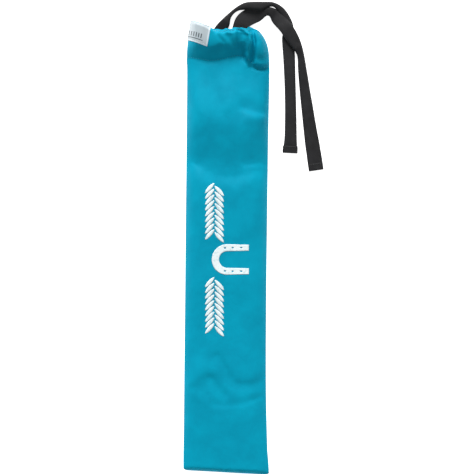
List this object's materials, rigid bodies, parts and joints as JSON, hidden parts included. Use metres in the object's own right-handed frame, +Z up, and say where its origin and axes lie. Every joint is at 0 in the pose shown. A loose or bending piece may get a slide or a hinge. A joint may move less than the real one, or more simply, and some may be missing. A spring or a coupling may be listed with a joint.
{
  "type": "horse tail bag",
  "caption": "Long narrow nylon bag, closed at the bottom, whose mouth has a casing with a flat draw tie; it covers a braided horse's tail.",
  "frame": {"origin": "middle of the bag's base on the surface that it lies on, the free ends of the tie left out", "axes": "+X across the bag towards the side where the tie ends lie, +Y along it from the closed bottom to the mouth, +Z up from the surface"},
  "size_m": [0.2329, 0.7839, 0.0263],
  "materials": {
    "nylon": "coated plain-weave nylon, slight sheen",
    "seam_edge": "overlocked nylon edge",
    "tie_webbing": "flat woven tape, matt",
    "black_thread": "spun thread",
    "turquoise_thread": "spun thread",
    "label_satin": "woven satin",
    "white_thread": "spun thread",
    "white_ink": "screen-printed plastisol, matt"
  },
  "bodies": {
    "root": {"front_panel": "nylon", "back_panel": "nylon", "casing_front": "nylon", "casing_back": "nylon", "side_seam_left": "seam_edge", "side_seam_right": "seam_edge", "bottom_seam": "seam_edge", "drawstring_in_casing": "tie_webbing", "tie_left": "tie_webbing", "tie_right": "tie_webbing", "tie_left_end_fold": "tie_webbing", "tie_right_end_fold": "tie_webbing", "tie_left_end_stitch": "black_thread", "tie_right_end_stitch": "black_thread", "casing_stitch_front": "turquoise_thread", "casing_stitch_back": "turquoise_thread", "hem_stitch_front": "turquoise_thread", "hem_stitch_back": "turquoise_thread", "slot_stitch_left": "turquoise_thread", "slot_stitch_right": "turquoise_thread", "woven_label": "label_satin", "label_stitch": "white_thread", "print_horseshoe": "white_ink", "print_band_upper": "white_ink", "print_band_lower": "white_ink"}
  },
  "joints": []
}
